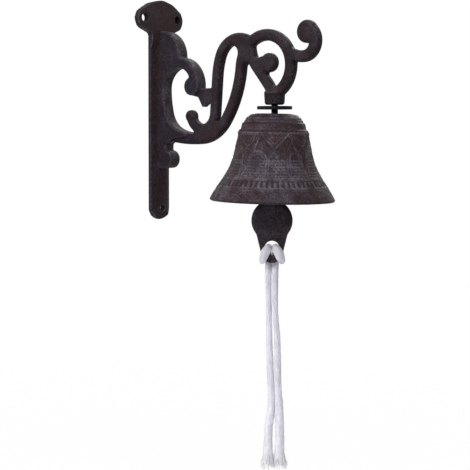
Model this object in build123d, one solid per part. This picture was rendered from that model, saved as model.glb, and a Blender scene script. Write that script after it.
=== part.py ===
from build123d import *

import os
from math import cos, hypot, pi, radians, sin

# A wall doorbell: a cast-iron scroll bracket carries a small church-shaped bell on a
# threaded hanger, and a clapper with a cotton pull cord hangs from the hanger's eye.
# Millimetres. The wall is the plane X = 0 and the arm reaches out along +X. Z is up, and
# Z = 0 is the level of the two upper screw holes, midway between which the origin lies.

# Wall plate
strip_width = 17.0
strip_middle = 5.0
strip_edge = 2.3
strip_end = 130.5
top_hole_spacing = 29.0
top_hole_radius = 2.7
bottom_hole_drop = 122.9
bottom_hole_radius = 2.2
head_width = 40.5
head_edge = 3.5
head_margin = 0.7
ear_radius = 7.1
ear_drop = 0.5
crest_radius = 12.0
crest_height = 11.8
brow_radius = 9.0
brow_aside = 6.4
brow_height = 10.3
neck_drop = 9.8
neck_length = 12.0
neck_fillet = 2.2
end_slope = 7.0
end_bulge = 1.3

# Scroll arm: its drawing is made for one reach and grows with it
arm_reach = 100.0
arm_drop = 59.0
drawn_reach = 100.0
lobe_thickness = 8.6
lobe_rounding = 1.1
lobe_corner_radius = 1.6
bar_thickness = 6.4
bar_rounding = 2.3
link_thickness = 4.8
link_rounding = 0.8
corner_radius = 0.9
wedge_radius = 4.6
crotch_radius = 2.4
left_bar_width = 6.6
main_bar_width = 7.0
slant_bar_width = 6.5
hook_bar_width = 7.0
shoulder_width = 6.6
curl_end_radius = 4.0
dot_radius = 5.8
hook_end_radius = 6.8
shoulder_knob_radius = 5.8
foot_knob_radius = 5.8

# Boss and hanger
boss_radius = 6.4
boss_foot_radius = 5.9
boss_height = 7.5
boss_rounding = 1.4
boss_taper_height = 3.8
boss_taper_radius = 2.6
rod_radius = 2.0
rod_grip = 8.0
fit_gap = 0.02
top_washer_radius = 10.5
top_washer_thickness = 1.9
boss_gap = 0.8
nut_width = 7.0
nut_height = 3.2
inner_washer_radius = 6.0
inner_washer_thickness = 1.0
eye_bend_radius = 5.0
eye_wire_radius = 1.8
eye_drop = 0.4
eye_aside = 1.5
hanger_turn = 40.0

# Bell
crown_gap = 2.55
crown_thickness = 3.6
crown_play = 1.0
seat_gap = 0.25
bell_height = 52.2
drawn_height = 52.2
mouth_radius = 37.5
drawn_mouth = 37.5
wall = 3.2
lip_thickness = 3.6
lip_rounding = 1.4
bell_lean = 1.0
bell_aside = 0.5

# Clapper and its link
link_wire_radius = 1.2
link_bend_radius = 5.6
ring_gap = 0.4
lug_hole_radius = 2.4
lug_radius = 5.0
lug_thickness = 2.8
shank_width = 6.4
ball_below_lip = 11.6
ball_radius = 12.35
ball_thickness = 9.0
ball_rounding = 3.4
tail_thickness = 5.0
tail_inset = 2.65
tail_top_below = 6.7
tail_fillet = 5.0
tail_end_radius = 6.5
tail_end_below = 19.0
cord_eye_radius = 4.5
cord_eye_below = 16.6

# Pull cord
cord_radius = 2.0
bend_share = 0.45

LEVEL = -arm_drop
grow = arm_reach / drawn_reach


def drawn(across, up):
    """A point of the scroll's drawing, whose zero is the wall at the top washer's level."""
    return Vector(across, up)


def edges_along(start, heading, bends, aside=0.0):
    """Tangent arcs and straight runs from start. aside is how far to the left they are moved."""
    ahead = Vector(cos(radians(heading)), sin(radians(heading)))
    point = start + Vector(-ahead.Y, ahead.X) * aside
    edges = []
    for size, turn in bends:
        if turn == 0:
            edge = Line(point, point + ahead * size)
        else:
            side = 1 if turn > 0 else -1
            edge = JernArc(point, ahead, size - side * aside, turn)
        edges.append(edge)
        point, ahead = edge @ 1, edge % 1
    return edges, point, ahead


def disc(place, radius):
    return Location((place.X, place.Y)) * Circle(radius)


def bar_face(start, heading, bends, width):
    """A round-ended band of even width along tangent bends, and the middle of its far end."""
    left, left_end, ahead = edges_along(start, heading, bends, width / 2)
    right, right_end, ahead = edges_along(start, heading, bends, -width / 2)
    ends = [Line(left_end, right_end), Line(left[0] @ 0, right[0] @ 0)]
    tip = (left_end + right_end) * 0.5
    band = make_face(left + right + ends)
    return band + disc(start, width / 2) + disc(tip, width / 2), tip


def sharp_corners(face, least=14.0):
    """The face's corners, without the places where one tangent edge follows another."""
    found = []
    for vertex in face.vertices():
        here = Vector(vertex.X, vertex.Y, vertex.Z)
        ways = []
        for edge in face.edges():
            if (edge @ 0 - here).length < 1e-4:
                ways.append(edge % 0)
            elif (edge @ 1 - here).length < 1e-4:
                ways.append(edge % 1 * -1)
        if len(ways) == 2 and 180 - ways[0].get_angle(ways[1]) > least:
            found.append(vertex)
    return found


def slab(drawing, thickness, rounding):
    """A drawing as metal in the arm's plane, with its outline rounded on both sides."""
    soft = [(drawn(75.7, 39), wedge_radius), (drawn(79, 31.3), crotch_radius)]
    upright = Plane.XZ * (Location((0, LEVEL)) * scale(drawing, by=grow))
    body = extrude(upright, amount=thickness / 2, both=True)
    for corner in sharp_corners(upright.face()):
        place = Vector(corner.X, 0, corner.Z)
        join = body.edges().filter_by(Axis.Y).sort_by_distance(place)[0]
        radius = corner_radius
        for middle, wider in soft:
            if hypot(corner.X - middle.X * grow, corner.Z - LEVEL - middle.Y * grow) < 3 * grow:
                radius = wider
        body = fillet(join, radius)
    rims = [
        edge
        for edge in body.edges()
        if abs(abs(edge.center().Y) - thickness / 2) < 1e-3
    ]
    return fillet(rims, rounding)


def lobe_drawing():
    """Root and shoulder of the scroll, which are flat-faced and thicker."""
    inside = 2.0
    root_top = drawn(7, 50.6)
    root_centre = drawn(7, 33.5)
    opening_top = drawn(25, 26.4)
    opening, opening_end, ahead = edges_along(
        opening_top, 180, [(1.5, 0), (14, 60), (12, 30), (60, 15), (15, 50), (30, 20)]
    )
    shoulder_end = drawn(24.1, 33.5)
    crown = CenterArc(root_centre, (root_top - root_centre).Y, 0, 90)
    foot = [
        opening_end,
        drawn(31.5, -17.5),
        drawn(16.5, -19.4),
        drawn(11.4, -22.4),
        drawn(11.0, -29.6),
        drawn(11.2, -37.8),
        drawn(inside, -37.8),
        drawn(inside, root_top.Y),
        root_top,
    ]
    outline = [crown, Line(shoulder_end, opening_top), *opening, Polyline(*foot)]
    root = make_face(outline)
    shoulder, shoulder_tip = bar_face(
        drawn(20.4, 29.8), 5, [(15.3, -99.5)], shoulder_width
    )
    shoulder_knob = disc(drawn(33.8, 14.4), shoulder_knob_radius)
    foot_knob = disc(drawn(11.2, -32.0), foot_knob_radius)
    face = root + shoulder + shoulder_knob + foot_knob
    filled = offset(face, corner_radius)
    cut_back = offset(filled, -corner_radius - lobe_corner_radius)
    return offset(cut_back, lobe_corner_radius)


def bar_drawing():
    """The round-edged bars: the long curve with its curl, the ring, the slanting bar, the hook."""
    left, curl_tip = bar_face(
        drawn(79.3, 41),
        152,
        [(16.2, 98), (45, 15.5), (23.5, 0), (10.4, -163)],
        left_bar_width,
    )
    main, ring_tip = bar_face(
        drawn(14.1, -17),
        -10.7,
        [(107, 14.4), (26.7, 49.1), (66.7, 31.6), (20, -119.4), (18, -111.9), (19.4, 13.4)],
        main_bar_width,
    )
    slant, slant_tip = bar_face(
        drawn(81, 39), -86, [(2, 0), (20, 36), (15.5, 0), (8, -28)], slant_bar_width
    )
    hook, hook_tip = bar_face(
        drawn(112.7, 31.9), -27.6, [(19, 31.5), (8.9, 135.7)], hook_bar_width
    )
    dot = drawn(96.2, 27.05)
    neck = make_face(
        Polyline(
            drawn(89, dot.Y - dot_radius),
            drawn(83.5, 29.4),
            drawn(dot.X, 32.2),
            drawn(dot.X, dot.Y - dot_radius),
            close=True,
        )
    )
    face = left + main + slant + hook + neck
    face += disc(curl_tip, curl_end_radius)
    face += disc(dot, dot_radius)
    face += disc(drawn(125, 44), hook_end_radius)
    return face.face()


def link_drawing():
    """The short bridge between the shoulder's knob and the long curve."""
    return make_face(
        Polyline(
            drawn(32, 13),
            drawn(53, 13),
            drawn(53, 2.4),
            drawn(46.5, 3.6),
            drawn(42.5, 0.8),
            drawn(38.6, 7.4),
            drawn(32, 8.8),
            close=True,
        )
    )


def plate_mould(low, high):
    """The space behind the plate's arched front. Each end is (level, half its width, edge)."""
    far = top_hole_spacing + head_width
    sections = []
    for level, half, edge in (low, high):
        outline = [
            Line((edge, -half, level), (edge, -far, level)),
            Line((edge, -far, level), (0, -far, level)),
            Line((0, -far, level), (0, far, level)),
            Line((0, far, level), (edge, far, level)),
            Line((edge, far, level), (edge, half, level)),
            ThreePointArc((edge, half, level), (strip_middle, 0, level), (edge, -half, level)),
        ]
        sections.append(make_face(outline))
    return loft(sections, ruled=True)


def wall_plate():
    """The strip with its eared head. The back is flat and the front arched."""
    half = strip_width / 2
    head_half = head_width / 2
    end_level = -(strip_end - half)
    strip = Location((0, end_level / 2)) * Rectangle(strip_width, -end_level)
    strip += Location((0, end_level)) * Circle(half)
    ear_middle = head_half - ear_radius
    rounds = Location((0, crest_height - crest_radius)) * Circle(crest_radius)
    for side in (1, -1):
        rounds += Location((side * brow_aside, brow_height - brow_radius)) * Circle(brow_radius)
        rounds += Location((side * ear_middle, -ear_drop)) * Circle(ear_radius)
    rounds += Location((0, -neck_drop / 2)) * Rectangle(strip_width, neck_drop)
    head = make_hull(rounds.edges())
    outline = (strip + head).face()
    outline = fillet(sharp_corners(outline), neck_fillet)
    outline = outline.face()
    blank = extrude(Plane.YZ * outline, amount=strip_middle + 1, dir=(1, 0, 0))
    neck_top = -ear_drop - ear_radius
    neck_bottom = neck_top - neck_length
    above = crest_height + 1
    low_end = (-strip_end - 1, half, strip_edge)
    low_neck = (neck_bottom, half, strip_edge)
    high_neck = (neck_top, head_half + head_margin, head_edge)
    high_end = (above, head_half + head_margin, head_edge)
    mould = plate_mould(low_end, low_neck)
    mould += plate_mould(low_neck, high_neck)
    mould += plate_mould(high_neck, high_end)
    bottom = -strip_end
    side = make_face(
        [
            Polyline(
                (strip_edge, bottom - 1),
                (-1, bottom - 1),
                (-1, above),
                (strip_middle + 1, above),
                (strip_middle + 1, bottom + end_slope),
                (strip_middle, bottom + end_slope),
            ),
            ThreePointArc(
                (strip_middle, bottom + end_slope),
                (strip_middle - end_bulge, bottom + end_slope * 0.42),
                (strip_edge, bottom),
            ),
            Line((strip_edge, bottom), (strip_edge, bottom - 1)),
        ]
    )
    side_mould = extrude(Plane.XZ * side, amount=head_half + 1, both=True)
    return blank & mould & side_mould


def screw_holes():
    """Cutters for the three wall screws."""
    places = [
        (top_hole_spacing / 2, 0, top_hole_radius),
        (-top_hole_spacing / 2, 0, top_hole_radius),
        (0, -bottom_hole_drop, bottom_hole_radius),
    ]
    cutters = []
    for across, up, radius in places:
        hole = Plane.YZ * (Location((across, up)) * Circle(radius))
        cutters.append(extrude(hole, amount=strip_middle + 1, both=True))
    return cutters


boss_bottom = LEVEL + top_washer_thickness / 2 + boss_gap


def wall_bracket():
    """Plate, scroll arm and boss, cast in one piece."""
    standing = (Align.CENTER, Align.CENTER, Align.MIN)
    boss_place = Location((arm_reach, 0, boss_bottom))
    boss = boss_place * Cone(boss_foot_radius, boss_radius, boss_height, align=standing)
    boss = fillet(boss.edges().group_by(Axis.Z)[0], boss_rounding)
    taper = Cone(boss_radius, boss_taper_radius, boss_taper_height, align=standing)
    boss += Location((arm_reach, 0, boss_bottom + boss_height)) * taper
    body = wall_plate()
    body += slab(lobe_drawing(), lobe_thickness, lobe_rounding)
    body += slab(bar_drawing(), bar_thickness, bar_rounding)
    body += slab(link_drawing(), link_thickness, link_rounding)
    body += boss
    for cutter in screw_holes():
        body -= cutter
    body -= boss_place * Cylinder(rod_radius + fit_gap, 2 * (rod_grip + 1), align=Align.CENTER)
    return body


crown_top = LEVEL - top_washer_thickness / 2 - crown_gap
crown_underside = crown_top - crown_thickness
inner_washer_top = crown_underside - seat_gap
nut_top = inner_washer_top - inner_washer_thickness
nut_bottom = nut_top - nut_height
eye_top = nut_bottom - eye_drop
eye_level = eye_top - eye_bend_radius - eye_wire_radius
eye_pivot = eye_level - eye_bend_radius
link_level = eye_pivot + eye_wire_radius + link_wire_radius + ring_gap - link_bend_radius
link_pivot = link_level - link_bend_radius
lug_level = link_pivot + link_wire_radius + ring_gap - lug_hole_radius
ball_level = crown_top - bell_height - ball_below_lip
cord_eye_level = ball_level - cord_eye_below

# The hanger is screwed in until its eye, and with it the clapper, faces this way.
across_eye = Vector(cos(radians(hanger_turn)), sin(radians(hanger_turn)), 0)
through_eye = Vector(sin(radians(hanger_turn)), -cos(radians(hanger_turn)), 0)
# The eye is bent a little to one side of the rod, so the clapper hangs beside the axis.
eye_middle = Vector(arm_reach, 0, 0) - across_eye * eye_aside
eye_plane = Plane(origin=eye_middle, x_dir=across_eye, z_dir=through_eye)
link_plane = Plane(origin=eye_middle, x_dir=through_eye, z_dir=-across_eye)


def wire_ring(plane, level, bend, wire):
    """A closed ring of round wire in one of the eye's upright planes."""
    return plane * Location((0, level)) * Torus(bend, wire)


def hanger_bolt():
    top = boss_bottom + rod_grip
    rod = Location((arm_reach, 0, top)) * Cylinder(
        rod_radius, top - eye_top + eye_wire_radius, align=(Align.CENTER, Align.CENTER, Align.MAX)
    )
    return rod + wire_ring(eye_plane, eye_level, eye_bend_radius, eye_wire_radius)


def flat_washer(outer, thickness, top):
    ring = Circle(outer) - Circle(rod_radius + fit_gap)
    return extrude(Location((arm_reach, 0, top - thickness)) * ring, amount=thickness)


def crown_nut():
    flats = RegularPolygon(nut_width / 2, 6, major_radius=False) - Circle(rod_radius + fit_gap)
    return extrude(Location((arm_reach, 0, nut_bottom)) * flats, amount=nut_height)


def bell():
    """The bell, turned about its own axis, which leans a little on its loose seat."""
    wide = mouth_radius / drawn_mouth
    tall = bell_height / drawn_height
    hole = rod_radius + crown_play
    under = -crown_thickness
    base = -bell_height

    def outer(radius, drop):
        return (radius * wide, -drop * tall)

    def inner(radius, drop, share):
        """The point inside one of the outside, the wall's level width being a share of it."""
        return (radius * wide - wall * share, -drop * tall)

    flare = [(22.5, 20.5), (24.4, 28.0), (27.2, 34.6), (31.2, 41.0), (35.2, 46.8)]
    shares = [1.03, 1.06, 1.12, 1.18, 1.24]
    crown = outer(10.5, 0)
    shoulder = outer(17.6, 5.2)
    step = [outer(18.9, 5.9), outer(19.6, 9.4), outer(20.8, 10.2)]
    lip_outer = (mouth_radius, base + lip_rounding)
    lip_flat = (mouth_radius - lip_rounding, base)
    lip_inner = (mouth_radius - lip_thickness, base)
    inside_top = inner(20.9, 11.0, 1.03)
    inside_crown = (crown[0], under)
    inside_bend = inner(18.8, 6.6, 1.0)
    section = make_face(
        [
            Line((hole, 0), crown),
            ThreePointArc(crown, outer(15.2, 1.9), shoulder),
            Polyline(shoulder, *step),
            Spline(step[-1], *[outer(*place) for place in flare], lip_outer),
            RadiusArc(lip_outer, lip_flat, -lip_rounding),
            Line(lip_flat, lip_inner),
            Spline(
                lip_inner,
                *[inner(*place, share) for place, share in zip(flare[::-1], shares[::-1])],
                inside_top,
            ),
            ThreePointArc(inside_top, inside_bend, inside_crown),
            Polyline(inside_crown, (hole, under), (hole, 0)),
        ]
    )
    turned = revolve(Plane.XZ * section, axis=Axis.Z)
    lean = Axis((0, 0, under), through_eye)
    turned = turned.rotate(lean, -bell_lean)
    place = Vector(arm_reach, 0, crown_top) - across_eye * bell_aside
    return Location(place) * turned


def clapper():
    """A flat casting with a lug above, a rounded striking disc and an eye for the cord."""
    upright = Plane(origin=eye_middle, x_dir=across_eye, z_dir=through_eye)
    shank = Location((0, (lug_level + ball_level) / 2)) * Rectangle(
        shank_width, lug_level - ball_level
    )
    lug = Location((0, lug_level)) * Circle(lug_radius)
    upper = extrude(upright * (shank + lug), amount=lug_thickness / 2, both=True)
    half = ball_radius - tail_inset
    tail_top = ball_level - tail_top_below
    tail = make_hull(
        [
            Line((-half, tail_top), (half, tail_top)),
            CenterArc((0, ball_level - tail_end_below), tail_end_radius, 0, 360),
        ]
    )
    outline = (tail + Location((0, ball_level)) * Circle(ball_radius)).face()
    outline = fillet(sharp_corners(outline, 5), tail_fillet).face()
    lower = extrude(upright * outline, amount=tail_thickness / 2, both=True)
    ball = extrude(
        upright * (Location((0, ball_level)) * Circle(ball_radius)),
        amount=ball_thickness / 2,
        both=True,
    )
    rims = [e for e in ball.edges() if abs(e.length - 2 * pi * ball_radius) < 0.1]
    ball = fillet(rims, ball_rounding)
    body = upper + lower + ball
    cord_eye = upright * (Location((0, cord_eye_level)) * Circle(cord_eye_radius))
    lug_hole = upright * (Location((0, lug_level)) * Circle(lug_hole_radius))
    body -= extrude(cord_eye, amount=ball_thickness, both=True)
    body -= extrude(lug_hole, amount=ball_thickness, both=True)
    return body


# Corners of the cord's two tails, each (across the eye, through it, up) from the eye's middle.
LEFT_TAIL = [
    (-2.2, -3.6, -132.0),
    (-1.6, -3.7, -106.0),
    (-0.4, -4.0, -79.0),
    (-1.1, -4.9, -52.0),
    (-1.2, -5.4, -29.0),
    (-2.1, -5.1, -15.0),
    (-2.1, -4.9, -7.5),
]
RIGHT_TAIL = [
    (5.3, -2.9, -132.0),
    (4.8, -3.0, -106.0),
    (3.7, -3.2, -79.0),
    (3.3, -3.0, -52.0),
    (2.0, -2.9, -29.0),
    (2.1, -4.6, -15.0),
    (2.1, -4.9, -7.5),
]


def pull_cord(tail, side):
    """Half of the cord: a tail, its way through the eye and round to the hitch's middle."""
    turn = [
        (2.15, -4.9, 0.2),
        (2.15, 4.8, 0.3),
        (5.6, 5.2, -3.6),
        (6.4, 4.9, -7.9),
        (5.3, -1.5, -9.4),
        (3.9, -9.2, -8.8),
        (0, -9.2, -8.8),
    ]
    cord_eye = eye_middle + Vector(0, 0, cord_eye_level)
    places = tail + [(side * across, through, up) for across, through, up in turn]
    corners = [
        cord_eye + across_eye * across + through_eye * through + Vector(0, 0, up)
        for across, through, up in places
    ]
    runs = [(b - a).length for a, b in zip(corners, corners[1:])]
    runs[-1] *= 2
    radii = []
    for place in range(1, len(corners) - 1):
        before, here, after = corners[place - 1 : place + 2]
        half_turn = radians((here - before).get_angle(after - here)) / 2
        setback = bend_share * min(runs[place - 1 : place + 1])
        radii.append(setback * cos(half_turn) / sin(half_turn))
    path = FilletPolyline(*corners, radius=radii)
    start = Plane(origin=path @ 0, z_dir=path % 0)
    tube = sweep(start * Circle(cord_radius), path=path)
    expected = pi * cord_radius**2 * path.length
    print("cord length", round(path.length, 1), "volume", round(tube.volume / expected, 4))
    return tube


def save(name, shape):
    export_step(shape, os.path.join("parts", name + ".step"))


def main():
    os.makedirs("parts", exist_ok=True)
    top_washer_top = LEVEL + top_washer_thickness / 2
    save("wall_bracket", wall_bracket())
    save("hanger_bolt", hanger_bolt())
    save("top_washer", flat_washer(top_washer_radius, top_washer_thickness, top_washer_top))
    save("inner_washer", flat_washer(inner_washer_radius, inner_washer_thickness, inner_washer_top))
    save("crown_nut", crown_nut())
    save("bell", bell())
    save("clapper_link", wire_ring(link_plane, link_level, link_bend_radius, link_wire_radius))
    save("clapper", clapper())
    save("pull_cord_left", pull_cord(LEFT_TAIL, -1))
    save("pull_cord_right", pull_cord(RIGHT_TAIL, 1))
    print("pivots", round(eye_pivot, 3), round(link_pivot, 3), "seat", round(crown_underside, 3))


main()
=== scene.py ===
import math
import random

import bpy
import numpy as np
from mathutils import Matrix, Vector, noise


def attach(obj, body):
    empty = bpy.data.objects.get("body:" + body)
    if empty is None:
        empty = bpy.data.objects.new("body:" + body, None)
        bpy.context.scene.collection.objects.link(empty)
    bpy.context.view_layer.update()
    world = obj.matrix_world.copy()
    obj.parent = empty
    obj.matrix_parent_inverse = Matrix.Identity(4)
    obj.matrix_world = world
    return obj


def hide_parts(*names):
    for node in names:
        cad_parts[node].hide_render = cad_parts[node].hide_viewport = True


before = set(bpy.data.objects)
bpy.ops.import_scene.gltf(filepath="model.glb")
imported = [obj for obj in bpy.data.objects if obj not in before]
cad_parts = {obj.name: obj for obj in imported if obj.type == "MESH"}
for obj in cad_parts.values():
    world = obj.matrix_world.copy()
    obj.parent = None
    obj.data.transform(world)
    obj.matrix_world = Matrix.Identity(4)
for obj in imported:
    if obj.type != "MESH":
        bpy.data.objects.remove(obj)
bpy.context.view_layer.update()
MM = 0.001

# ACROSS points to the picture's right and TOWARDS to the photographer
TURN = math.radians(40.0)
ACROSS = Vector((math.cos(TURN), math.sin(TURN), 0))
TOWARDS = Vector((math.sin(TURN), -math.cos(TURN), 0))
# The hanger's distance from the wall, and the level of the top washer's middle
REACH = 100.0
LEVEL = -59.0

# The camera fitted to the photograph, with lengths in millimetres
CAMERA_YAW = math.radians(-1.932)
CAMERA_PITCH = math.radians(-2.0)
CAMERA_DISTANCE = 700.0
CAMERA_AIM = Vector((99.93, 0, LEVEL - 14.0))
AIM_ROW_PX = 131.27
FOCAL_PX = 1171.0
PICTURE_PX = 470.0
SENSOR_WIDTH = 36.0


def linear(red, green, blue):
    """A colour as seen on a screen, 0 to 255, as Blender's linear values."""
    values = [c / 255 for c in (red, green, blue)]
    return [c / 12.92 if c <= 0.04045 else ((c + 0.055) / 1.055) ** 2.4 for c in values] + [1]


def set_camera():
    """A camera at the photograph's angle, with the picture shifted to its row of aim."""
    ahead = -TOWARDS
    level_way = ahead * math.cos(CAMERA_YAW) + ACROSS * math.sin(CAMERA_YAW)
    way = level_way * math.cos(CAMERA_PITCH) + Vector((0, 0, 1)) * math.sin(CAMERA_PITCH)
    data = bpy.data.cameras.new("camera")
    data.sensor_width = SENSOR_WIDTH
    data.lens = FOCAL_PX / PICTURE_PX * SENSOR_WIDTH
    below = PICTURE_PX / 2 - AIM_ROW_PX
    data.shift_y = -(below - FOCAL_PX * math.tan(-CAMERA_PITCH)) / PICTURE_PX
    data.clip_start = 0.01
    camera = bpy.data.objects.new("camera", data)
    camera.location = (CAMERA_AIM - ahead * CAMERA_DISTANCE) * MM
    camera.rotation_euler = way.to_track_quat("-Z", "Y").to_euler()
    bpy.context.scene.collection.objects.link(camera)
    bpy.context.scene.camera = camera


set_camera()


# Materials
class Tree:
    """Adds nodes to a material or world by name and joins them."""

    def __init__(self, owner):
        owner.use_nodes = True
        self.nodes = owner.node_tree.nodes
        self.links = owner.node_tree.links
        self.nodes.clear()

    def add(self, kind, **settings):
        node = self.nodes.new(kind)
        for name, value in settings.items():
            setattr(node, name, value)
        return node

    def join(self, source, target):
        self.links.new(source, target)

    def put(self, socket, value):
        """Joins a value that is another node's output, or sets a plain one."""
        if isinstance(value, bpy.types.NodeSocket):
            self.join(value, socket)
        else:
            socket.default_value = value

    def noise(self, where, scale, detail=3.0, rough=0.5):
        node = self.add("ShaderNodeTexNoise")
        node.inputs["Scale"].default_value = scale
        node.inputs["Detail"].default_value = detail
        node.inputs["Roughness"].default_value = rough
        self.join(where, node.inputs["Vector"])
        return node.outputs["Fac"]

    def ramp(self, source, stops):
        node = self.add("ShaderNodeValToRGB")
        elements = node.color_ramp.elements
        while len(elements) < len(stops):
            elements.new(0.5)
        for element, (place, colour) in zip(elements, stops):
            element.position = place
            element.color = colour
        self.join(source, node.inputs["Fac"])
        return node.outputs["Color"]

    def span(self, source, limits, values=(0.0, 1.0)):
        """Runs from one value to the other between the source's limits, and holds beyond."""
        node = self.add("ShaderNodeMapRange")
        names = ("From Min", "From Max", "To Min", "To Max")
        for name, value in zip(names, (*limits, *values)):
            node.inputs[name].default_value = value
        self.join(source, node.inputs["Value"])
        return node.outputs["Result"]

    def mix(self, factor, one, other):
        node = self.add("ShaderNodeMix", data_type="RGBA")
        for socket, value in ((0, factor), (6, one), (7, other)):
            self.put(node.inputs[socket], value)
        return node.outputs[2]

    def maths(self, operation, one, other=0.0):
        node = self.add("ShaderNodeMath", operation=operation)
        for socket, value in enumerate((one, other)):
            self.put(node.inputs[socket], value)
        return node.outputs[0]

    def product(self, one, other):
        return self.maths("MULTIPLY", one, other)

    def larger(self, one, other):
        return self.maths("MAXIMUM", one, other)

    def parts(self, vector):
        node = self.add("ShaderNodeSeparateXYZ")
        self.join(vector, node.inputs[0])
        return node.outputs

    def place(self):
        """The point's place on its object, in metres."""
        return self.add("ShaderNodeTexCoord").outputs["Object"]

    def stored(self, name, output="Fac"):
        """Values that the mesh itself carries."""
        return self.add("ShaderNodeAttribute", attribute_name=name).outputs[output]

    def bump(self, height, strength, distance, under=None):
        node = self.add("ShaderNodeBump")
        node.inputs["Strength"].default_value = strength
        node.inputs["Distance"].default_value = distance
        self.join(height, node.inputs["Height"])
        if under:
            self.join(under, node.inputs["Normal"])
        return node.outputs["Normal"]

    def surface(self, colour, rough, normal, **settings):
        shader = self.add("ShaderNodeBsdfPrincipled")
        for name, value in settings.items():
            shader.inputs[name.replace("_", " ")].default_value = value
        self.put(shader.inputs["Base Color"], colour)
        self.put(shader.inputs["Roughness"], rough)
        self.join(normal, shader.inputs["Normal"])
        out = self.add("ShaderNodeOutputMaterial")
        self.join(shader.outputs[0], out.inputs[0])

    def seen_ray(self):
        """1 for the camera's own rays and for those that a gloss or clear piece passes on."""
        rays = self.add("ShaderNodeLightPath").outputs
        seen = self.larger(rays["Is Camera Ray"], rays["Is Glossy Ray"])
        return self.larger(seen, rays["Is Transmission Ray"])

    def blend(self, factor, one, other, output):
        """Ends the tree with two shaders mixed."""
        mixer = self.add("ShaderNodeMixShader")
        self.join(factor, mixer.inputs[0])
        self.join(one.outputs[0], mixer.inputs[1])
        self.join(other.outputs[0], mixer.inputs[2])
        out = self.add(output)
        self.join(mixer.outputs[0], out.inputs[0])


# Dark for the grain's pits, and for painted shade in inner corners, creases and hollows
PIT_AND_SHADE_DARK = linear(17, 12, 14)
# Grey for lighter sharp edges, for painted highlights on the bell's relief and for painted glints
EDGE_AND_HIGHLIGHT_GREY = linear(112, 105, 112)
# Painted shade on the bars' edge faces
BAR_SIDE_SHADE = linear(22, 18, 21)
STRIP_FRONT = linear(45, 30, 33)
# Painted shade on the plate's sides
STRIP_SIDE_SHADE = linear(32, 31, 37)
HEAD_FRONT = linear(62, 51, 51)
# Painted shade on the lobes' faces
LOBE_FACE_SHADE = linear(24, 19, 27)
# Painted shade on the bell: its darker side is redder
BELL_SHADE_RED = linear(50, 31, 29)

# Bands of the bracket that its paint changes over, in metres: out from the wall, then up
PLATE_EDGE = (0.0042, 0.005)
PLATE_FRONT = (0.005, 0.0065)
PLATE_END = (0.0055, 0.008)
LOBES_END = (0.040, 0.046)
HEAD_START = (-0.016, -0.011)


def bracket_paint(tree, where, facing, colour):
    """The bracket's tones by zone, with painted shade on the bars' edge faces, the plate's sides, the
    lobes' faces and creases, and painted light on the lobes' rims; it also gives how flat a point is,
    how far out it is, how far off the plate, and the lit rims.
    """
    away, _, up = tree.parts(where)
    flat = tree.maths("ABSOLUTE", facing[1])
    off_plate = tree.span(away, PLATE_END)
    on_lobes = tree.product(off_plate, tree.span(away, LOBES_END, (1.0, 0.0)))
    on_bars = tree.span(away, LOBES_END)

    # Painted shade darkens the bars' edge faces
    bar_side_shade = tree.product(tree.span(flat, (0.25, 0.8), (0.65, 0.0)), on_bars)
    colour = tree.mix(bar_side_shade, colour, BAR_SIDE_SHADE)

    front = tree.maths("SUBTRACT", tree.span(away, PLATE_FRONT, (0.65, 0.0)), flat)
    front_colour = tree.mix(tree.span(up, HEAD_START), STRIP_FRONT, HEAD_FRONT)
    colour = tree.mix(tree.larger(front, 0.0), colour, front_colour)
    # Painted shade darkens the plate's sides
    strip_side_shade = tree.product(flat, tree.span(away, PLATE_EDGE, (0.8, 0.0)))
    colour = tree.mix(strip_side_shade, colour, STRIP_SIDE_SHADE)

    # Painted shade darkens the lobes' faces
    face_shade = tree.product(tree.span(flat, (0.55, 0.72), (0.0, 0.85)), on_lobes)
    colour = tree.mix(face_shade, colour, LOBE_FACE_SHADE)
    # Painted shade in the crease where the lobes' faces turn
    crease_shade = tree.product(tree.span(flat, (0.55, 0.7)), on_lobes)
    crease_shade = tree.product(crease_shade, tree.span(flat, (0.78, 0.95), (0.35, 0.0)))
    colour = tree.mix(crease_shade, colour, PIT_AND_SHADE_DARK)
    # Painted light on the lobes' rims
    lit_rim = tree.product(tree.span(flat, (0.45, 0.6), (0.75, 0.0)), on_lobes)
    return colour, flat, away, off_plate, lit_rim


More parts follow.
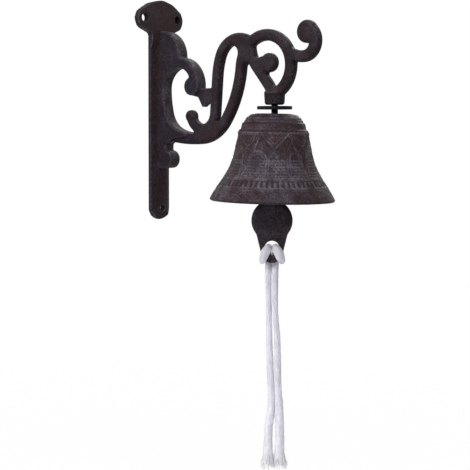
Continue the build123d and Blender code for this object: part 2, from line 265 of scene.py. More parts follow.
def painted_iron(name, browns, painted_lit_grey, sheen, glint_share, kind):
    """Semi-gloss brown-black paint on sand-cast iron, with painted light that makes it greyer on rims
    and where it faces up, and painted glints.
    """
    material = bpy.data.materials.new(name)
    tree = Tree(material)
    source = tree.add("ShaderNodeTexCoord")
    where = source.outputs["Object"]
    facing = tree.parts(source.outputs["Normal"])
    grain = tree.noise(where, scale=1250, detail=4, rough=0.7)
    patches = tree.span(tree.noise(where, scale=130, rough=0.55), (0.4, 0.6), (0.25, 1.0))
    # Painted glints: light specks on the grain, in patches
    painted_glints = tree.product(tree.span(grain, (0.53, 0.66), (0.0, glint_share)), patches)

    red, plum, dark = browns
    colour = tree.ramp(
        tree.noise(where, scale=70, detail=5, rough=0.6),
        [(0.34, linear(*red)), (0.5, linear(*dark)), (0.66, linear(*plum))],
    )
    # Painted light from above: greyer where the surface faces up
    painted_lit_share = tree.span(facing[2], (-0.2, 0.9), (0.0, 0.5))
    if kind == "bracket":
        colour, flat, away, off_plate, lit_rim = bracket_paint(tree, where, facing, colour)
        # On the bracket the painted light falls only off the plate, and on the lobes' rims
        painted_lit_share = tree.larger(tree.product(painted_lit_share, off_plate), lit_rim)
        # Fewer painted glints on flat faces and on the plate
        painted_glints = tree.product(painted_glints, tree.span(flat, (0.5, 0.8), (1.0, 0.5)))
        painted_glints = tree.product(painted_glints, tree.span(away, PLATE_END, (0.4, 1.0)))
    if kind == "bell":
        # Painted light and shade on the bell, with random patches: redder where low, greyer where high
        painted_light_and_patches = tree.stored("painted_light_and_patches")
        colour = tree.mix(tree.span(painted_light_and_patches, (0.0, 0.45), (0.5, 0.0)), colour, BELL_SHADE_RED)
        painted_lit_share = tree.product(painted_light_and_patches, 0.75)
    # The painted light's grey, laid on in patches
    colour = tree.mix(tree.product(painted_lit_share, patches), colour, linear(*painted_lit_grey))

    # Sharp edges are lighter, and inner corners darker with painted shade
    bend = tree.add("ShaderNodeNewGeometry").outputs["Pointiness"]
    edge = tree.span(bend, (0.51, 0.57), (0.0, 0.7))
    lighter_share = tree.product(edge, tree.span(grain, (0.4, 0.6), (0.2, 1.0)))
    colour = tree.mix(lighter_share, colour, EDGE_AND_HIGHLIGHT_GREY)
    colour = tree.mix(tree.span(bend, (0.44, 0.49), (0.75, 0.0)), colour, PIT_AND_SHADE_DARK)
    if kind == "bell":
        # Painted highlight on the bell's raised relief
        colour = tree.mix(tree.product(tree.stored("relief"), patches), colour, EDGE_AND_HIGHLIGHT_GREY)
    # Painted glints
    colour = tree.mix(painted_glints, colour, EDGE_AND_HIGHLIGHT_GREY)
    colour = tree.mix(tree.span(grain, (0.34, 0.5), (0.9, 0.0)), colour, PIT_AND_SHADE_DARK)
    # Painted shade on the walls of the screw holes and in the hollows beside the bell's relief
    if kind != "clapper":
        colour = tree.mix(tree.stored("hollow_shade"), colour, PIT_AND_SHADE_DARK)

    rough = tree.span(tree.noise(where, scale=300), (0.3, 0.7), (0.42, 0.62))
    casting = tree.bump(tree.noise(where, scale=260), strength=0.4, distance=0.0006)
    normal = tree.bump(grain, strength=0.7, distance=0.00035, under=casting)
    tree.surface(
        colour,
        rough,
        normal,
        Metallic=0.0,
        Specular_IOR_Level=sheen,
        Specular_Tint=(0.9, 0.86, 1, 1),
    )
    return material


def black_steel():
    """The dull black of the bolt, nut, washers and link, a little scuffed."""
    material = bpy.data.materials.new("black_steel")
    tree = Tree(material)
    where = tree.place()
    base = tree.ramp(
        tree.noise(where, scale=260, detail=4, rough=0.6),
        [(0.35, linear(9, 9, 9)), (0.65, linear(19, 20, 19))],
    )
    wear = tree.noise(where, scale=900, detail=4, rough=0.7)
    colour = tree.mix(tree.span(wear, (0.55, 0.7), (0.0, 0.25)), base, linear(58, 60, 57))
    rough = tree.span(tree.noise(where, scale=700), (0.3, 0.7), (0.45, 0.62))
    grain = tree.noise(where, scale=1600, rough=0.6)
    normal = tree.bump(grain, strength=0.25, distance=0.00015)
    tree.surface(colour, rough, normal, Metallic=0.0, Specular_IOR_Level=0.04)
    return material


def cotton(name, dark, light):
    """Soft bleached cotton, with fine fibres that run along the cord, lighter low down."""
    material = bpy.data.materials.new(name)
    tree = Tree(material)
    along = tree.stored("fibre", "Vector")
    fibre = tree.noise(along, scale=2600, rough=0.6)
    strand = tree.noise(along, scale=900, rough=0.6)
    base = tree.ramp(strand, [(0.34, linear(*dark)), (0.62, linear(*light))])
    shade = tree.span(fibre, (0.34, 0.58), (0.28, 0.0))
    colour = tree.mix(shade, base, linear(168, 165, 178))
    # Lighter low down on the cord
    lower_lighter = tree.span(tree.parts(tree.place())[2], (-0.21, -0.245), (0.0, 0.25))
    colour = tree.mix(lower_lighter, colour, linear(224, 223, 228))
    normal = tree.bump(strand, strength=0.4, distance=0.0005)
    normal = tree.bump(fibre, strength=0.35, distance=0.00025, under=normal)
    tree.surface(
        colour,
        0.92,
        normal,
        Specular_IOR_Level=0.1,
        Sheen_Weight=0.3,
        Sheen_Roughness=0.5,
        Subsurface_Weight=0.7,
        Subsurface_Scale=0.002,
        Subsurface_Radius=(1.0, 1.0, 1.0),
    )
    return material


# Each casting's red, plum and dark brown
BRACKET_BROWNS = ((43, 25, 27), (46, 38, 45), (28, 21, 23))
BELL_BROWNS = ((52, 32, 34), (50, 41, 48), (36, 27, 30))
CLAPPER_BROWNS = ((64, 52, 58), (60, 55, 63), (42, 37, 42))
bracket_iron = painted_iron(
    "bracket_iron", BRACKET_BROWNS, painted_lit_grey=(72, 67, 73), sheen=0.05, glint_share=0.32, kind="bracket"
)
bell_iron = painted_iron(
    "bell_iron", BELL_BROWNS, painted_lit_grey=(86, 79, 87), sheen=0.07, glint_share=0.4, kind="bell"
)
clapper_iron = painted_iron(
    "clapper_iron", CLAPPER_BROWNS, painted_lit_grey=(60, 56, 60), sheen=0.05, glint_share=0.3, kind="clapper"
)
steel = black_steel()
white_cotton = cotton("cotton_cord", dark=(186, 184, 193), light=(207, 205, 213))
# The fray's cotton is lighter: partly the loose fibres' own tone, partly painted light that offsets
# the shade between its strands
loose_cotton = cotton("cotton_fray", dark=(222, 221, 227), light=(240, 239, 243))


# Helpers for pieces
def dress(piece, material):
    piece.data.materials.clear()
    piece.data.materials.append(material)


def store(mesh, name, values):
    """Keeps one number, or one vector, for each of the mesh's points."""
    values = np.array(values)
    kind, field = ("FLOAT_VECTOR", "vector") if values.ndim == 2 else ("FLOAT", "value")
    attribute = mesh.attributes.new(name, kind, "POINT")
    attribute.data.foreach_set(field, values.reshape(-1))


def place_mesh(name, mesh, material, body):
    piece = bpy.data.objects.new(name, mesh)
    bpy.context.scene.collection.objects.link(piece)
    dress(piece, material)
    mesh.shade_smooth()
    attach(piece, body)
    return piece


def with_modifiers(piece):
    """A new mesh of the piece as its modifiers make it."""
    bpy.context.view_layer.update()
    graph = bpy.context.evaluated_depsgraph_get()
    return bpy.data.meshes.new_from_object(piece.evaluated_get(graph))


# Bracket and clapper: the CAD shapes with the soft inner corners of a casting
EAR_ASIDE = 14.5
# The bracket's screw holes, as (sideways, up, radius)
BORES = [(EAR_ASIDE, 0, 2.7), (-EAR_ASIDE, 0, 2.7), (0, -122.9, 2.2)]
BORE_DEPTH = 4.2
BORE_SLACK = 0.25
BORE_SHADE = 0.85
# Balls about two of the holes, as (middle, radius), in which nothing is smoothed
SHARP_SPOTS = [((2.2, EAR_ASIDE, 0), 4.4), ((2.2, 0, -122.9), 4.2)]
FLASH_REACH = 4.4
FLASH_FADE = 1.6
FLASH_SHARE = 0.6


def flash_in_hole(vertex):
    """Narrows the right ear's hole towards the wall, as casting flash does there."""
    aside = vertex.co.y / MM - EAR_ASIDE
    up = vertex.co.z / MM
    away = math.hypot(aside, up)
    depth = vertex.co.x / MM
    if depth > FLASH_REACH or not 0.01 < away < FLASH_REACH:
        return
    fall = min(1.0, (FLASH_REACH - away) / FLASH_FADE)
    share = 1 - FLASH_SHARE * (1 - depth / FLASH_REACH) * fall
    vertex.co.y = (EAR_ASIDE + aside * share) * MM
    vertex.co.z = up * share * MM


def in_bore(point):
    """Whether a point is on the wall of one of the screw holes."""
    return point.x < BORE_DEPTH * MM and any(
        math.hypot(point.y - y * MM, point.z - z * MM) < (radius + BORE_SLACK) * MM
        for y, z, radius in BORES
    )


def cast_copy(node, name, body, material, voxel, smoothing, crisp=()):
    """The node remeshed and smoothed. crisp is (place, radius) spots that stay sharp."""
    piece = bpy.data.objects.new(name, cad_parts[node].data.copy())
    bpy.context.scene.collection.objects.link(piece)
    remesh = piece.modifiers.new("remesh", "REMESH")
    remesh.mode = "VOXEL"
    remesh.voxel_size = voxel * MM
    mesh = with_modifiers(piece)
    piece.modifiers.clear()
    piece.data = mesh
    for vertex in mesh.vertices:
        flash_in_hole(vertex)
    soft = [
        vertex.index
        for vertex in mesh.vertices
        if not any((vertex.co - Vector(place) * MM).length < radius * MM for place, radius in crisp)
    ]
    piece.vertex_groups.new(name="soft").add(soft, 1.0, "REPLACE")
    smooth = piece.modifiers.new("smooth", "SMOOTH")
    smooth.factor = 0.5
    smooth.iterations = smoothing
    smooth.vertex_group = "soft"
    mesh = with_modifiers(piece)
    bpy.data.objects.remove(piece)
    # Painted shade on the walls of the screw holes
    store(mesh, "hollow_shade", [BORE_SHADE if in_bore(v.co) else 0.0 for v in mesh.vertices])
    piece = place_mesh(name, mesh, material, body)
    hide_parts(node)


cast_copy(
    "wall_bracket",
    "bracket_casting",
    "bracket",
    bracket_iron,
    voxel=0.48,
    smoothing=2,
    crisp=SHARP_SPOTS,
)
cast_copy(
    "clapper", "clapper_casting", "clapper", clapper_iron, voxel=0.35, smoothing=5
)

for node in ("hanger_bolt", "top_washer", "inner_washer", "crown_nut", "clapper_link"):
    dress(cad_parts[node], steel)


# Bell: a lathed mesh about its own leaning axis, with the relief raised on its outside
PERIOD = math.radians(90.0)
PANEL_MIDDLE = math.radians(2.5)
# A raised line fades out at this many of its half widths
SOFT_EDGE = 1.6


def smooth_line(points, count):
    """Points along a Catmull-Rom curve through the given ones."""
    ends = [points[0], *points, points[-1]]
    found = []
    for place in range(count):
        along = place / (count - 1) * (len(points) - 1)
        piece = min(int(along), len(points) - 2)
        t = along - piece
        a, b, c, d = (np.array(p, float) for p in ends[piece : piece + 4])
        if piece == 0:
            a = 2 * b - c
        if piece == len(points) - 2:
            d = 2 * c - b
        squared = (2 * a - 5 * b + 4 * c - d) * t**2
        cubed = (3 * b - a - 3 * c + d) * t**3
        found.append(0.5 * (2 * b + (c - a) * t + squared + cubed))
    return found


class Relief:
    """Ornament on a grid of (row, column) points of the bell's outside, in millimetres."""

    def __init__(self, angle, height, radius):
        self.height = height
        self.radius = radius
        turned = (angle - PANEL_MIDDLE + PERIOD / 2) % PERIOD - PERIOD / 2
        self.side = np.degrees(turned)
        self.raised = np.zeros_like(height)

    def millimetres(self, degrees):
        return np.radians(degrees) * self.radius

    def line(self, distance, half_width, rise, where=True):
        shape = np.clip(1 - (distance / (SOFT_EDGE * half_width)) ** 2, 0, 1)
        self.raised = np.maximum(self.raised, rise * shape * where)

    def ring(self, level, half_width, rise):
        self.line(np.abs(self.height - level), half_width, rise)

    def stroke(self, start, end, half_width, rise):
        """A straight line between two (degrees, level) points of one panel."""
        ax = self.millimetres(self.side - start[0])
        ay = self.height - start[1]
        bx = self.millimetres(end[0] - start[0])
        by = end[1] - start[1]
        share = np.clip((ax * bx + ay * by) / (bx**2 + by**2), 0, 1)
        self.line(np.hypot(ax - share * bx, ay - share * by), half_width, rise)

    def bow(self, middle, top, half_span, depth, half_width, rise, below):
        """Half an ellipse about (middle, top): the lower half if below, or else the upper."""
        across = self.millimetres(self.side - middle)
        reach = self.millimetres(half_span)
        size = np.hypot(across / reach, (self.height - top) / depth)
        half = self.height <= top if below else self.height >= top
        self.line(np.abs(size - 1) * np.minimum(reach, depth), half_width, rise, half)

    def curved_rib(self, top_side, low_side, half_width, rise):
        """A rib whose angle runs from top_side to low_side, faster at its upper end."""
        share = np.clip((RIB_TOP - self.height) / (RIB_TOP - PANEL_FOOT), 0, 1)
        middle = top_side + (low_side - top_side) * share**RIB_CURVE
        where = (self.height <= RIB_TOP) & (self.height >= PANEL_FOOT)
        self.line(np.abs(self.millimetres(self.side - middle)), half_width, rise, where)


# Rings right round the bell, as (level, half width, rise)
RINGS = (
    (-1.1, 0.45, 0.2),
    (-2.9, 0.5, 0.4),
    (-4.5, 0.5, 0.4),
    (-7.9, 0.35, 0.12),
    (-11.6, 0.5, 0.4),
    (-12.6, 0.3, 0.2),
    (-37.5, 0.4, 0.32),
    (-38.5, 0.4, 0.32),
    (-43.4, 0.45, 0.34),
    (-44.5, 0.3, 0.16),
)
# Levels of the ornament, in millimetres below the crown's top
FESTOON_TOP = -12.4
RIB_TOP = -13.0
RIB_CURVE = 0.7
FESTOON_TIP = -20.8
ARCH_FOOT = -26.6
UPRIGHT_TOP = -26.5
PANEL_FOOT = -36.8
SLATS = (-27.7, -29.4, -31.2, -32.9, -34.7, -36.4)
SLAT_PITCH = 1.7
# Degrees between which the slats run in each of the three panels
PANELS = ((-42.0, -12.0), (-6.0, 17.0), (22.0, 42.0))
JOINT_SPACING = 7.5
FLUTES = 62
FLUTE_TOP = -39.4
FLUTE_FOOT = -42.7


def slats(work):
    """Slats with staggered joints, like a louvred window."""
    for number, level in enumerate(SLATS):
        upright = (work.height < level) & (work.height > level - SLAT_PITCH)
        wave = 0.12 * np.sin(np.radians(work.side) * 60 + number * 2)
        for low, high in PANELS:
            inside = (work.side > low) & (work.side < high)
            work.line(np.abs(work.height - level + wave), 0.42, 0.32, inside)
            for joint in np.arange(low + 4 + 3 * (number % 2), high, JOINT_SPACING):
                work.line(np.abs(work.millimetres(work.side - joint)), 0.32, 0.2, upright)


def bell_ornament(angle, height, radius):
    """How far the relief stands out at each point of the grid."""
    work = Relief(angle, height, radius)
    for level, half_width, rise in RINGS:
        work.ring(level, half_width, rise)
    # Festoons: a deep double one, and a rounder one with crossed ties between each two
    for half_span, low, half_width, rise in ((21.5, FESTOON_TIP, 0.5, 0.4), (16.0, -18.4, 0.38, 0.28)):
        for end in (-half_span, half_span):
            work.stroke((end, FESTOON_TOP), (0.0, low), half_width, rise)
    for middle in (-45.0, 45.0):
        work.bow(middle, FESTOON_TOP, 12.5, 6.6, 0.45, 0.36, below=True)
        work.bow(middle, FESTOON_TOP, 8.5, 4.4, 0.35, 0.24, below=True)
        work.stroke((middle - 9, -22.5), (middle + 9, -17.5), 0.35, 0.24)
        work.stroke((middle - 9, -17.5), (middle + 9, -22.5), 0.35, 0.24)
    # Curved ribs fall from the festoons' ends, and uprights part the panels
    work.curved_rib(21.5, 44.0, 0.5, 0.36)
    work.curved_rib(-21.5, -43.0, 0.5, 0.36)
    work.curved_rib(25.5, 47.0, 0.38, 0.26)
    work.curved_rib(-25.5, -46.5, 0.38, 0.26)
    for place in (-11.0, -8.0, 18.0, 21.0):
        work.stroke((place, UPRIGHT_TOP), (place, PANEL_FOOT), 0.42, 0.32)
    # Arched tops over the slatted panels, and a hanging knot under each deep festoon
    work.bow(-25.5, ARCH_FOOT, 13.5, 4.4, 0.48, 0.36, below=False)
    work.bow(-25.5, ARCH_FOOT, 9.0, 2.9, 0.35, 0.24, below=False)
    work.bow(31.5, ARCH_FOOT, 9.5, 3.6, 0.45, 0.32, below=False)
    work.stroke((0.0, FESTOON_TIP), (3.0, -26.0), 0.45, 0.34)
    work.stroke((0.0, FESTOON_TIP), (-5.0, -25.5), 0.45, 0.34)
    knot = np.hypot(work.millimetres(work.side - 2.5), height + 23.9)
    work.line(np.abs(knot - 1.5), 0.45, 0.32)
    work.line(knot, 0.6, 0.3)
    slats(work)
    # Upright flutes between the two lower pairs of rings
    flute = (angle * FLUTES / (2 * math.pi)) % 1 - 0.5
    low_band = (height < FLUTE_TOP) & (height > FLUTE_FOOT)
    work.line(np.abs(flute) * 2, 0.4, 0.27, low_band)
    return work.raised


# The bell's section as (radius, level) points, from the crown's hole out, down and back up
BELL_COLUMNS = 540
CROWN = [(3.0, 0.0), (7.0, 0.0), (10.5, -0.02)]
SHOULDER = [(10.5, -0.02), (13.2, -0.7), (15.3, -2.0), (16.7, -3.6), (17.6, -5.2)]
STEP = [
    (17.6, -5.2),
    (18.6, -5.7),
    (18.95, -6.2),
    (19.3, -7.9),
    (19.6, -9.3),
    (20.4, -9.8),
    (20.8, -10.4),
]
SIDE = [
    (20.8, -10.4),
    (21.6, -15.0),
    (22.5, -20.5),
    (24.4, -28.0),
    (27.2, -34.6),
    (31.2, -41.0),
    (35.2, -46.8),
    (37.5, -51.0),
]
LIP = [(37.5, -51.0), (37.35, -51.7), (36.9, -52.1), (36.1, -52.2), (34.6, -52.2), (33.9, -52.0)]
INSIDE = [
    (33.9, -52.0),
    (31.2, -46.4),
    (27.4, -41.4),
    (23.6, -35.0),
    (21.0, -28.0),
    (19.2, -20.5),
    (17.6, -11.0),
    (15.6, -6.6),
    (11.0, -3.6),
    (3.0, -3.6),
]
# Each run with its number of points: first those outside, which carry the relief
OUTER_RUNS = [(SHOULDER, 15), (STEP, 14), (SIDE, 118)]
INNER_RUNS = [(LIP, 8), (INSIDE, 18)]

# The bell hangs a little aside and leans about the underside of its crown
BELL_LEAN = math.radians(-1.0)
BELL_ASIDE = 0.5
CROWN_THICKNESS = 3.6
HALF_WASHER = 0.95
CROWN_GAP = 2.55
# The mesh's plain surface lies this far inside the CAD one, under its casting texture
SURFACE_DEPTH = 0.05
OUTER_TEXTURE = 0.07
INNER_TEXTURE = 0.03
# The relief is unevenly filled: its mean share, how far that follows the noise, and its limits
RELIEF_MEAN = 0.85
RELIEF_UNEVEN = 0.5
RELIEF_LIMITS = (0.35, 1.15)
# How strongly the paint is lighter on the relief, a painted highlight, and darker beside it, a painted
# shade, and the most of each
RELIEF_HIGHLIGHT_GAIN = 1.3
RELIEF_HIGHLIGHT_MOST = 0.42
HOLLOW_SHADE_GAIN = 6
HOLLOW_SHADE_MOST = 0.6


def bell_painted_light(angle, height):
    """How grey the bell's paint is, as painted light and shade: lighter and greyer low in front and on
    the left, darker and redder on the right.
    """

    def spot(degrees, spread, level, tall):
        turned = (np.degrees(angle) - degrees + 180) % 360 - 180
        return np.exp(-((turned / spread) ** 2) - ((height - level) / tall) ** 2)

    even = np.full_like(angle, 0.25)
    # Spots of painted light in front and on the left, and of painted shade on the right
    lighter_share = 1.15 * spot(12, 26, -36, 9) + 0.25 * spot(5, 25, -3, 4) + 0.4 * spot(-65, 28, -42, 12)
    return even + lighter_share - 0.35 * spot(52, 26, -18, 17) - 0.2 * spot(60, 25, -46, 12)


def blurred(field, rows, columns):
    """A grid averaged over a few rows and columns, running round in its columns."""
    total = np.zeros_like(field)
    for row in range(-rows, rows + 1):
        for column in range(-columns, columns + 1):
            shifted = np.roll(field, column, axis=1)
            total += np.roll(shifted, row, axis=0)
    return total / ((2 * rows + 1) * (2 * columns + 1))


def bell_noise(profile, angle, outer_rows):
    """Two soft noises over the bell: one for its surface and one for its weathering."""
    wobble = np.zeros_like(angle)
    patches = np.zeros_like(angle)
    inner_offset = 40
    for row, (r, z) in enumerate(profile):
        drop = z + (inner_offset if row >= outer_rows else 0)
        for column in range(BELL_COLUMNS):
            a = angle[row, column]
            spot = Vector((math.cos(a) * r, math.sin(a) * r, drop))
            wobble[row, column] = noise.noise(spot * 0.35) + 0.6 * noise.noise(spot * 1.6)
            patches[row, column] = 0.3 * noise.noise(spot * 0.09) + 0.2 * noise.noise(spot * 0.3)
    return wobble, patches


def hung(r, angle, z):
    """The bell's points, turned from its own axis to the place where it hangs."""
    up = np.array((0.0, 0.0, 1.0))
    points = (
        np.cos(angle)[..., None] * r[..., None] * np.array(TOWARDS)
        + np.sin(angle)[..., None] * r[..., None] * np.array(ACROSS)
        + z[..., None] * up
    ).reshape(-1, 3)
    lean = np.array(Matrix.Rotation(BELL_LEAN, 3, TOWARDS))
    pivot = np.array((0.0, 0.0, -CROWN_THICKNESS))
    top = LEVEL - HALF_WASHER - CROWN_GAP
    centre = np.array(Vector((REACH, 0, top)) - ACROSS * BELL_ASIDE)
    return (points - pivot) @ lean.T + pivot + centre


def make_bell():
    profile = [np.array(point, float) for point in CROWN]
    for points, count in OUTER_RUNS + INNER_RUNS:
        profile += smooth_line(points, count)[1:]
    profile = np.array(profile)
    rows = len(profile)
    outer_rows = len(CROWN) + sum(count - 1 for _, count in OUTER_RUNS)
    tangent = np.roll(profile, -1, axis=0) - np.roll(profile, 1, axis=0)
    outward = np.stack([-tangent[:, 1], tangent[:, 0]], axis=1)
    outward /= np.linalg.norm(outward, axis=1)[:, None]
    turns = np.arange(BELL_COLUMNS) * 2 * math.pi / BELL_COLUMNS
    angle, height = np.meshgrid(turns, profile[:, 1])
    radius = np.repeat(profile[:, :1], BELL_COLUMNS, axis=1)

    raised = bell_ornament(angle, height, radius)
    raised[outer_rows:] = 0
    wobble, patches = bell_noise(profile, angle, outer_rows)
    raised *= np.clip(RELIEF_MEAN + RELIEF_UNEVEN * wobble, *RELIEF_LIMITS)
    shift = raised + OUTER_TEXTURE * wobble
    shift[outer_rows:] = INNER_TEXTURE * wobble[outer_rows:]
    points = hung(
        radius + shift * outward[:, :1] - SURFACE_DEPTH, angle, height + shift * outward[:, 1:]
    )

    index = np.arange(rows * BELL_COLUMNS).reshape(rows, BELL_COLUMNS)
    beside = np.roll(index, -1, axis=1)
    below = np.roll(index, -1, axis=0)
    corner = np.roll(beside, -1, axis=0)
    faces = np.stack([index, beside, corner, below], axis=-1).reshape(-1, 4)
    mesh = bpy.data.meshes.new("bell_casting")
    mesh.from_pydata((points * MM).tolist(), [], faces.tolist())
    # Painted highlight on the raised relief, and painted shade in the hollows beside it
    light = np.clip(blurred(raised, 1, 1) * RELIEF_HIGHLIGHT_GAIN, 0, RELIEF_HIGHLIGHT_MOST)
    hollow_shade = np.clip((blurred(raised, 3, 4) - raised) * HOLLOW_SHADE_GAIN, 0, HOLLOW_SHADE_MOST)
    hollow_shade[outer_rows:] = 0
    store(mesh, "relief", light.reshape(-1))
    store(mesh, "hollow_shade", hollow_shade.reshape(-1))
    store(mesh, "painted_light_and_patches", (bell_painted_light(angle, height) + patches).reshape(-1))
    mesh.update()
    piece = place_mesh("bell_casting", mesh, bell_iron, "bell")
    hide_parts("bell")


make_bell()


# Cord: the route as (across, towards, up) points from the clapper's eye, nearly as in the CAD
# model, with some points moved to follow the photograph
EYE_ASIDE = 1.5
CORD_EYE_DROP = 83.9
CORD_COLUMNS = 40
CORD_STEP = 0.4
CAP_HEIGHT = 0.8
TAILS = {
    "left": [
        (-2.2, -3.6, -130.6),
        (-2.4, -3.6, -117.0),
        (-1.9, -3.7, -108.5),
        (-0.8, -3.7, -101.5),
        (-0.1, -3.8, -94.5),
        (-0.3, -3.9, -87.0),
        (-0.9, -4.0, -79.0),
        (-1.3, -4.4, -69.0),
        (-1.6, -4.8, -54.0),
        (-1.9, -5.1, -41.0),
        (-1.9, -5.3, -29.0),
        (-2.3, -5.1, -15.0),
        (-2.1, -4.9, -7.5),
    ],
    "right": [
        (4.7, -2.9, -130.8),
        (4.8, -3.0, -116.0),
        (4.7, -3.0, -105.0),
        (4.2, -3.1, -93.0),
        (3.5, -3.2, -83.0),
        (3.4, -3.2, -70.0),
        (3.2, -3.1, -56.0),
        (2.4, -3.0, -45.0),
        (1.6, -3.0, -35.0),
        (1.6, -3.3, -25.0),
        (1.8, -4.6, -14.0),
        (2.1, -4.9, -7.5),
    ],
}
# The right half of the hitch, up to its middle; the left half mirrors it
TURN_POINTS = [
    (2.1, -4.9, 0.5),
    (2.1, 5.3, 0.5),
    (4.1, 5.7, -2.4),
    (5.3, 5.6, -5.8),
    (6.1, 1.0, -7.9),
    (4.8, -7.4, -7.6),
    (1.8, -9.2, -7.2),
    (0.0, -9.2, -7.2),
]
# Half thickness of the cord at distances from the hitch's middle
HALF_THICKNESS = [
    (0, 1.9),
    (12, 1.95),
    (15, 2.0),
    (18, 2.45),
    (21, 2.8),
    (24, 2.7),
    (27, 2.2),
    (36, 1.95),
    (42, 2.05),
    (55, 2.1),
    (65, 1.95),
    (75, 1.75),
    (90, 1.95),
    (103, 2.1),
    (122, 2.25),
    (132, 2.5),
    (151, 2.7),
    (158, 2.95),
    (165, 3.4),
]
# The right tail is the plumper one
PLUMP = {"left": 0.98, "right": 1.04}
# How uneven the cord is, in millimetres, at distances from the hitch's middle, then near its end
LOOSENESS = [(0, 0.06), (60, 0.08), (115, 0.16)]
LOOSE_END = 8
END_LOOSENESS = (0.26, 0.5)
# The cut end's length that is drawn out unevenly, and by how much at the cut
RAGGED_END = 5
RAGGEDNESS = 1.3
# The fibres' pattern: its radius, its twist in a millimetre, and how it is drawn out
FIBRE_RADIUS = 2
FIBRE_TWIST = 0.05
FIBRE_STRETCH = 0.13


def route_points(name, side):
    """The route's control points, from the hitch's middle to the cut end."""
    eye = Vector((REACH, 0, LEVEL - CORD_EYE_DROP)) - ACROSS * EYE_ASIDE
    places = TAILS[name] + [(side * a, t, u) for a, t, u in TURN_POINTS]
    points = [(eye + ACROSS * a + TOWARDS * t + Vector((0, 0, u))) * MM for a, t, u in places]
    return points[::-1]


def spline_line(points):
    """Points read from the route's NURBS spline."""
    curve = bpy.data.curves.new("route", "CURVE")
    curve.dimensions = "3D"
    curve.resolution_u = 24
    spline = curve.splines.new("NURBS")
    spline.points.add(len(points) - 1)
    for target, point in zip(spline.points, points):
        target.co = (*point, 1)
    spline.order_u = 3
    spline.use_endpoint_u = True
    thing = bpy.data.objects.new("route", curve)
    mesh = bpy.data.meshes.new_from_object(thing)
    line = [vertex.co.copy() for vertex in mesh.vertices]
    bpy.data.objects.remove(thing)
    return line


def even_steps(line, step):
    """The same line in even steps, with each point's distance along it."""
    points = np.array(line)
    gaps = np.linalg.norm(np.diff(points, axis=0), axis=1)
    travel = np.concatenate([[0], np.cumsum(gaps)])
    count = int(travel[-1] / step) + 1
    marks = np.linspace(0, travel[-1], count)
    return np.stack([np.interp(marks, travel, points[:, k]) for k in range(3)], axis=1), marks


def cotton_mesh(name, vertices, faces, fibre):
    mesh = bpy.data.meshes.new(name)
    mesh.from_pydata(vertices, [], faces)
    store(mesh, "fibre", fibre)
    mesh.update()
    return mesh


def cord_mesh(name, line, seed):
    """A soft tube that thickens and loosens towards its cut end."""
    points, marks = even_steps(line, CORD_STEP * MM)
    marks = marks / MM
    end = marks[-1]
    tangent = np.gradient(points, axis=0)
    tangent /= np.linalg.norm(tangent, axis=1)[:, None]
    side = np.array(ACROSS)
    reach, level = zip(*HALF_THICKNESS)
    loose_reach, loose_level = zip(*LOOSENESS)
    loose_reach += (end - LOOSE_END, end)
    loose_level += END_LOOSENESS
    vertices, fibre = [], []
    for point, ahead, mark in zip(points, tangent, marks):
        side = side - ahead * side.dot(ahead)
        side /= np.linalg.norm(side)
        other = np.cross(ahead, side)
        base = np.interp(mark, reach, level) * PLUMP[name]
        loose = np.interp(mark, loose_reach, loose_level)
        ragged = np.interp(mark, (end - RAGGED_END, end), (0.0, RAGGEDNESS))
        for column in range(CORD_COLUMNS):
            a = column * 2 * math.pi / CORD_COLUMNS
            spot = Vector((math.cos(a) * 1.3 + seed, math.sin(a) * 1.3, mark * 0.55))
            lumps = noise.noise(spot)
            coarse = noise.noise(Vector((math.cos(a) * 3 + seed, math.sin(a) * 3, mark * 0.12)))
            radius = base * (1 + 0.03 * coarse) + loose * (lumps + 0.5 * coarse)
            flutter = noise.noise(Vector((math.cos(a) * 6, math.sin(a) * 6, seed)))
            place = point + (side * math.cos(a) + other * math.sin(a)) * radius * MM
            place = place + ahead * ragged * flutter * MM
            vertices.append(tuple(place))
            turn = a + mark * FIBRE_TWIST
            fibre.append(
                (
                    math.cos(turn) * FIBRE_RADIUS * MM,
                    math.sin(turn) * FIBRE_RADIUS * MM,
                    mark * FIBRE_STRETCH * MM,
                )
            )
    faces = []
    last = (len(points) - 1) * CORD_COLUMNS
    for low in range(0, last, CORD_COLUMNS):
        high = low + CORD_COLUMNS
        for column in range(CORD_COLUMNS):
            beside = (column + 1) % CORD_COLUMNS
            faces.append((low + column, high + column, high + beside, low + beside))
    faces.append(tuple(range(CORD_COLUMNS)))
    vertices.append(tuple(points[-1] + tangent[-1] * CAP_HEIGHT * MM))
    fibre.append((0.0, 0.0, end * FIBRE_STRETCH * MM))
    for column in range(CORD_COLUMNS):
        beside = (column + 1) % CORD_COLUMNS
        faces.append((last + beside, last + column, len(vertices) - 1))
    return cotton_mesh("cord_" + name, vertices, faces, fibre), points[-1], tangent[-1]


# The loose strands, four-sided and tapered, with lengths in millimetres
STRANDS = 150
STRAND_STEPS = 5
STRAND_TAPER = 0.6
STRAND_LENGTHS = (3.6, 7.2)
STRAND_WIDTHS = (0.22, 0.42)
ROOT_DEPTHS = (2.5, 6.0)
FRAY_RADIUS = 2.9
FRAY_SPREAD = 0.34


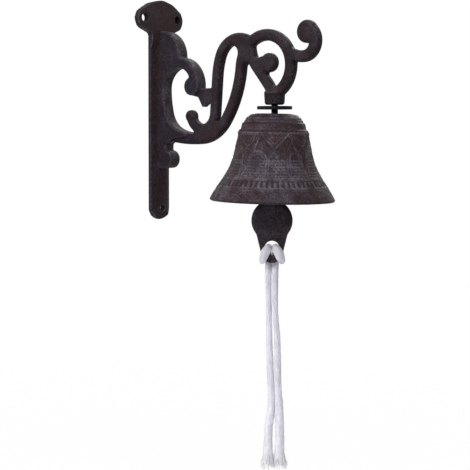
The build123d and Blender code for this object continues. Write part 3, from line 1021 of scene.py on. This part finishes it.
def fray_mesh(name, end, ahead, dice):
    """Loose fibres that stand out of the cut end."""
    vertices, faces, fibre = [], [], []
    ahead = Vector(ahead)
    side = ACROSS - ahead * ACROSS.dot(ahead)
    side.normalize()
    other = ahead.cross(side)
    for strand in range(STRANDS):
        a = dice.uniform(0, 2 * math.pi)
        spread = dice.uniform(0.3, 1.0) ** 0.6
        out = side * math.cos(a) + other * math.sin(a)
        root = Vector(end) + out * FRAY_RADIUS * spread * MM
        root -= ahead * dice.uniform(*ROOT_DEPTHS) * MM
        way = ahead + out * FRAY_SPREAD * spread + side * dice.uniform(-0.14, 0.14)
        way.normalize()
        length = dice.uniform(*STRAND_LENGTHS)
        thick = dice.uniform(*STRAND_WIDTHS)
        bend = out * dice.uniform(-0.5, 0.5)
        first = len(vertices)
        for step in range(STRAND_STEPS + 1):
            share = step / STRAND_STEPS
            middle = root + (way * length * share + bend * share**2) * MM
            width = thick * (1 - STRAND_TAPER * share)
            for corner in range(4):
                b = corner * math.pi / 2
                vertices.append(
                    tuple(middle + (side * math.cos(b) + other * math.sin(b)) * width * MM)
                )
                fibre.append((strand * 0.3 * MM, b * 0.1 * MM, share * 0.2 * MM))
        for step in range(STRAND_STEPS):
            low = first + step * 4
            for corner in range(4):
                beside = (corner + 1) % 4
                faces.append((low + corner, low + 4 + corner, low + 4 + beside, low + beside))
        faces.append((first + 3, first + 2, first + 1, first))
        top = first + STRAND_STEPS * 4
        faces.append((top, top + 1, top + 2, top + 3))
    return cotton_mesh("fray_" + name, vertices, faces, fibre)


def make_cord(name, side):
    """One half of the cord with its frayed end: side is -1 for the left and 1 for the right."""
    points = route_points(name, side)
    line = spline_line(points)
    mesh, end, ahead = cord_mesh(name, line, seed=3.0 + side * 1.7)
    piece = place_mesh("cord_" + name, mesh, white_cotton, "clapper")
    fringe = fray_mesh(name, end, ahead, random.Random(7 + side))
    fray = place_mesh("fray_" + name, fringe, loose_cotton, "clapper")
    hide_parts("pull_cord_" + name)
    tuple(points[0])
    [tuple(point) for point in line]


make_cord("left", -1)
make_cord("right", 1)


# Floor, sky and lamps
FLOOR_HALF = 6.0
FLOOR_LEVEL = -0.34


def pale_stage():
    """A pale floor that is nearly white where it is seen, and keeps a trace of the shadow."""
    mesh = bpy.data.meshes.new("floor")
    corners = [(-1, -1), (1, -1), (1, 1), (-1, 1)]
    mesh.from_pydata(
        [(x * FLOOR_HALF, y * FLOOR_HALF, FLOOR_LEVEL) for x, y in corners], [], [(0, 1, 2, 3)]
    )
    floor = bpy.data.objects.new("floor", mesh)
    bpy.context.scene.collection.objects.link(floor)
    material = bpy.data.materials.new("floor")
    material.cycles.emission_sampling = "NONE"
    tree = Tree(material)
    x, y, _ = tree.parts(tree.place())
    away = tree.maths("SQRT", tree.maths("ADD", tree.product(x, x), tree.product(y, y)))
    white = tree.span(away, (0.2, 0.7), (0.96, 1.0))
    diffuse = tree.add("ShaderNodeBsdfDiffuse")
    diffuse.inputs["Color"].default_value = (0.82, 0.82, 0.82, 1)
    glow = tree.add("ShaderNodeEmission")
    glow.inputs["Color"].default_value = (1, 1, 1, 1)
    seen = tree.product(tree.seen_ray(), white)
    tree.blend(seen, diffuse, glow, "ShaderNodeOutputMaterial")
    dress(floor, material)


def white_sky():
    """White where it is seen, and a weak cool light otherwise."""
    world = bpy.data.worlds.new("sky")
    bpy.context.scene.world = world
    tree = Tree(world)
    light = tree.add("ShaderNodeBackground")
    light.inputs["Color"].default_value = (0.97, 0.97, 1.0, 1)
    light.inputs["Strength"].default_value = 0.22
    white = tree.add("ShaderNodeBackground")
    white.inputs["Color"].default_value = (1, 1, 1, 1)
    white.inputs["Strength"].default_value = 1.0
    tree.blend(tree.seen_ray(), light, white, "ShaderNodeOutputWorld")


# The point that the lamps are placed from and aimed at, in metres
MIDDLE = Vector((0.07, 0, -0.10))


def lamp(name, across, towards, up, size, power):
    """A round soft lamp placed from the object's middle, aimed at it."""
    data = bpy.data.lights.new(name, "AREA")
    data.shape = "DISK"
    data.size = size
    data.energy = power
    thing = bpy.data.objects.new(name, data)
    way = ACROSS * across + TOWARDS * towards + Vector((0, 0, up))
    thing.location = MIDDLE + way
    thing.rotation_euler = (-way).to_track_quat("-Z", "Y").to_euler()
    bpy.context.scene.collection.objects.link(thing)


pale_stage()
white_sky()
lamp("key", across=-0.3, towards=1.0, up=0.55, size=0.35, power=8)
lamp("left", across=-1.1, towards=0.4, up=0.3, size=0.5, power=6)
lamp("high", across=0.12, towards=0.8, up=1.1, size=0.3, power=8)
lamp("back", across=0.4, towards=-1.0, up=0.7, size=0.6, power=6)

bpy.context.scene.view_settings.view_transform = "Standard"
